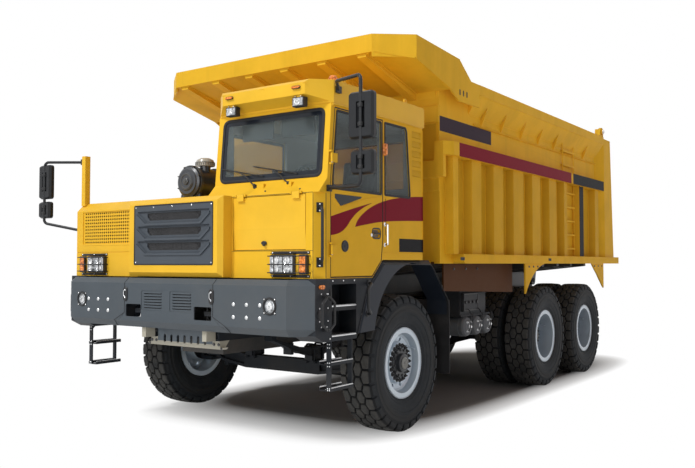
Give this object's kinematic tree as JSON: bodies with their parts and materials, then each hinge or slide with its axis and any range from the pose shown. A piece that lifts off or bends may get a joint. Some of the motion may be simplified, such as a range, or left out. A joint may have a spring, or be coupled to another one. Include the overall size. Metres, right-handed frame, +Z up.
{
  "type": "mining dump truck",
  "caption": "Heavy off-road dump truck with offset cab, ribbed steel tipping bed with cab canopy, twin rear wheels and underbody hoists.",
  "frame": {"origin": "on the ground under the middle of the overall length, on the truck's middle plane", "axes": "-Y is the front of the truck, +X the driver's left side, +Z up"},
  "size_m": [4.47, 8.512, 3.969],
  "materials": {
    "chassis_paint": "satin",
    "fender_paint": "satin",
    "bumper_paint": "satin",
    "guard_paint": "satin",
    "yellow_paint": "satin",
    "engine_iron": "rough",
    "lamp_housing": "matte",
    "clear_lens": "gloss",
    "amber_lens": "gloss",
    "black_paint": "satin",
    "vent_paint": "satin",
    "bed_frame_paint": "satin",
    "glass": "clear",
    "black_plastic": "matte",
    "seat_fabric": "matte",
    "rubber_sheet": "matte",
    "cleaner_paint": "satin",
    "tyre": "matte",
    "rim_silver": "satin",
    "hoist_paint": "satin",
    "chrome_rod": "polished"
  },
  "bodies": {
    "chassis": {"frame": "chassis_paint", "bumper_centre": "bumper_paint", "bumper_ends": "bumper_paint", "front_guard": "guard_paint", "engine_hood": "yellow_paint", "grille": "bumper_paint", "engine_block": "engine_iron", "headlamps": "lamp_housing", "cab_shell": "yellow_paint", "cab_roof": "yellow_paint", "cab_glass": "glass", "seat": "seat_fabric", "dashboard": "black_plastic", "mirrors": "black_plastic", "air_cleaner": "cleaner_paint", "steps": "chassis_paint", "fenders": "fender_paint", "mud_flaps": "rubber_sheet", "fuel_tank": "chassis_paint", "air_tanks": "chassis_paint", "front_axle": "chassis_paint", "leaf_springs": "chassis_paint", "drive_axles": "chassis_paint", "drive_shafts": "chassis_paint", "vent_panels": "vent_paint", "lamp_guards": "black_paint", "roof_lamps": "lamp_housing", "lamp_lenses": "clear_lens", "indicators": "amber_lens", "grab_handles": "black_paint"},
    "knuckle_left": {"knuckle_left": "chassis_paint"},
    "knuckle_right": {"knuckle_right": "chassis_paint"},
    "tie_rod": {"tie_rod": "chassis_paint"},
    "cab_door": {"cab_door": "yellow_paint", "door_glass": "glass"},
    "cab_flap": {"cab_flap": "yellow_paint"},
    "bed": {"bed_tub": "yellow_paint", "bed_canopy": "yellow_paint", "bed_subframe": "bed_frame_paint", "bed_bearers": "bed_frame_paint", "bed_skirts": "yellow_paint"},
    "tailgate": {"tailgate": "yellow_paint"},
    "hoist_barrels": {"hoist_barrels": "hoist_paint"},
    "hoist_stages": {"hoist_stages": "chrome_rod"},
    "hoist_rods": {"hoist_rods": "chrome_rod"},
    "wheel_front_left": {"tyre_front_left": "tyre", "rim_front_left": "rim_silver"},
    "wheel_front_right": {"tyre_front_right": "tyre", "rim_front_right": "rim_silver"},
    "wheel_mid_left": {"tyre_mid_left": "tyre", "rim_mid_left": "rim_silver"},
    "wheel_mid_right": {"tyre_mid_right": "tyre", "rim_mid_right": "rim_silver"},
    "wheel_rear_left": {"tyre_rear_left": "tyre", "rim_rear_left": "rim_silver"},
    "wheel_rear_right": {"tyre_rear_right": "tyre", "rim_rear_right": "rim_silver"}
  },
  "joints": [
    {"name": "steer_left", "type": "hinge", "parent": "chassis", "child": "knuckle_left", "pos_m": [1.1, -2.514, 0.684], "axis": [0, 0, 1], "range_deg": [-30, 30]},
    {"name": "steer_right", "type": "hinge", "parent": "chassis", "child": "knuckle_right", "pos_m": [-1.1, -2.514, 0.684], "axis": [0, 0, 1], "range_deg": [-30, 30]},
    {"name": "tie_rod_slide", "type": "slide", "parent": "chassis", "child": "tie_rod", "axis": [1, 0, 0], "range_m": [-0.12, 0.12]},
    {"name": "cab_door_hinge", "type": "hinge", "parent": "chassis", "child": "cab_door", "pos_m": [1.656, -3.888, 2.2], "axis": [0, 0, -1], "range_deg": [0, 70]},
    {"name": "cab_flap_hinge", "type": "hinge", "parent": "chassis", "child": "cab_flap", "pos_m": [1.08, -4.066, 2.295], "axis": [-1, 0, 0], "range_deg": [0, 80]},
    {"name": "bed_tip", "type": "hinge", "parent": "chassis", "child": "bed", "pos_m": [0, 3.57, 1.4], "axis": [-1, 0, 0], "range_deg": [0, 45]},
    {"name": "tailgate_hinge", "type": "hinge", "parent": "bed", "child": "tailgate", "pos_m": [0, 3.906, 3.88], "axis": [1, 0, 0], "range_deg": [0, 55]},
    {"name": "hoist_swing", "type": "hinge", "parent": "chassis", "child": "hoist_barrels", "pos_m": [0, -0.65, 1.06], "axis": [1, 0, 0], "range_deg": [-1, 31]},
    {"name": "hoist_stage_slide", "type": "slide", "parent": "hoist_barrels", "child": "hoist_stages", "axis": [0, 0.9623, 0.2721], "range_m": [-0.01, 0.92]},
    {"name": "hoist_rod_slide", "type": "slide", "parent": "hoist_stages", "child": "hoist_rods", "axis": [0, 0.9623, 0.2721], "range_m": [-0.01, 0.92]},
    {"name": "spin_front_left", "type": "hinge", "parent": "knuckle_left", "child": "wheel_front_left", "pos_m": [1.405, -2.514, 0.684], "axis": [1, 0, 0], "continuous": true},
    {"name": "spin_front_right", "type": "hinge", "parent": "knuckle_right", "child": "wheel_front_right", "pos_m": [-1.405, -2.514, 0.684], "axis": [1, 0, 0], "continuous": true},
    {"name": "spin_mid_left", "type": "hinge", "parent": "chassis", "child": "wheel_mid_left", "pos_m": [1.25, 1.202, 0.684], "axis": [1, 0, 0], "continuous": true},
    {"name": "spin_mid_right", "type": "hinge", "parent": "chassis", "child": "wheel_mid_right", "pos_m": [-1.25, 1.202, 0.684], "axis": [1, 0, 0], "continuous": true},
    {"name": "spin_rear_left", "type": "hinge", "parent": "chassis", "child": "wheel_rear_left", "pos_m": [1.25, 2.851, 0.684], "axis": [1, 0, 0], "continuous": true},
    {"name": "spin_rear_right", "type": "hinge", "parent": "chassis", "child": "wheel_rear_right", "pos_m": [-1.25, 2.851, 0.684], "axis": [1, 0, 0], "continuous": true}
  ],
  "couplings": [
    {"joint": "steer_right", "follows": "steer_left", "ratio": 1},
    {"joint": "tie_rod_slide", "follows": "steer_left", "m_per_rad": -0.2101},
    {"joint": "hoist_swing", "follows": "bed_tip", "ratio": 0.65939},
    {"joint": "hoist_stage_slide", "follows": "bed_tip", "m_per_rad": 1.1382},
    {"joint": "hoist_rod_slide", "follows": "bed_tip", "m_per_rad": 1.1382}
  ]
}
